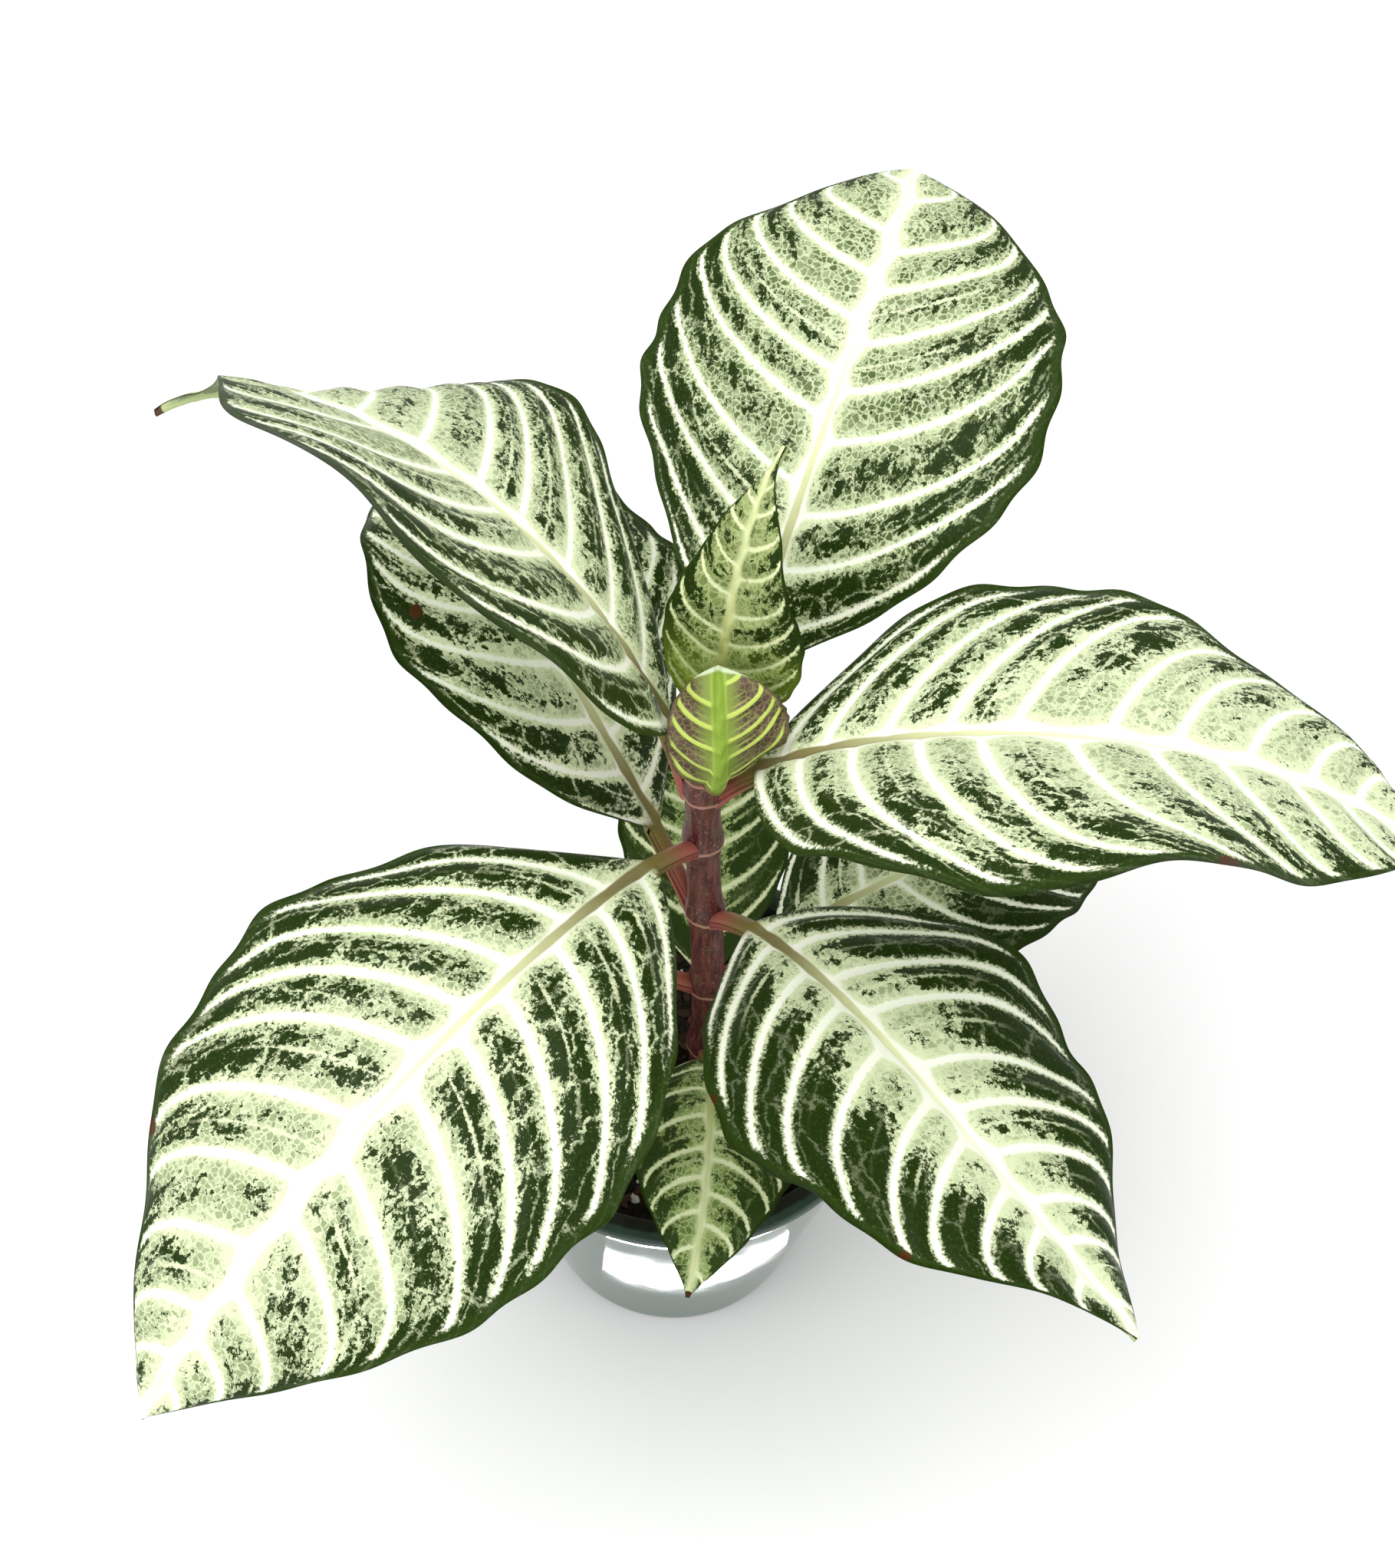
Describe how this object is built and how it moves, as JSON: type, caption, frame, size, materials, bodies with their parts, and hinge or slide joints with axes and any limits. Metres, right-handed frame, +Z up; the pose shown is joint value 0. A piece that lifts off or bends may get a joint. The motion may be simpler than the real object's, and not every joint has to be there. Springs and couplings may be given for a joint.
{
  "type": "potted zebra plant",
  "caption": "House plant with large dark green leaves striped white along the veins on one upright stem, rooted in potting mix in a lipped nursery pot inside a tapered cover pot.",
  "frame": {"origin": "middle of the cover pot's flat base", "axes": "+Z up along the pot, +X to the plant's right as seen from its front, +Y to its back"},
  "size_m": [0.3083, 0.2935, 0.35],
  "materials": {
    "cover_pot": "smooth glossy grey-green that mirrors pale ground",
    "nursery_pot": "satin dark blue-green",
    "potting_mix": "coarse dark peat with bark and pale grains",
    "stem": "smooth burgundy-brown bark, paler at the nodes",
    "leaf": "satin dark green leaf with broad white veins",
    "young_leaf": "satin grey-green young leaf with yellow-green midrib"
  },
  "bodies": {
    "root": {"cover_pot": "cover_pot", "nursery_pot": "nursery_pot", "potting_mix": "potting_mix", "stem": "stem", "leaf_back_right": "leaf", "leaf_upper_left": "leaf", "leaf_right": "leaf", "leaf_back_left": "leaf", "leaf_front_left": "leaf", "leaf_front_right": "leaf", "leaf_low_right": "leaf", "leaf_low_left": "leaf", "leaf_low_front": "leaf", "leaf_low_back": "leaf", "young_leaf_back": "young_leaf", "young_leaf_front": "young_leaf"}
  },
  "joints": []
}
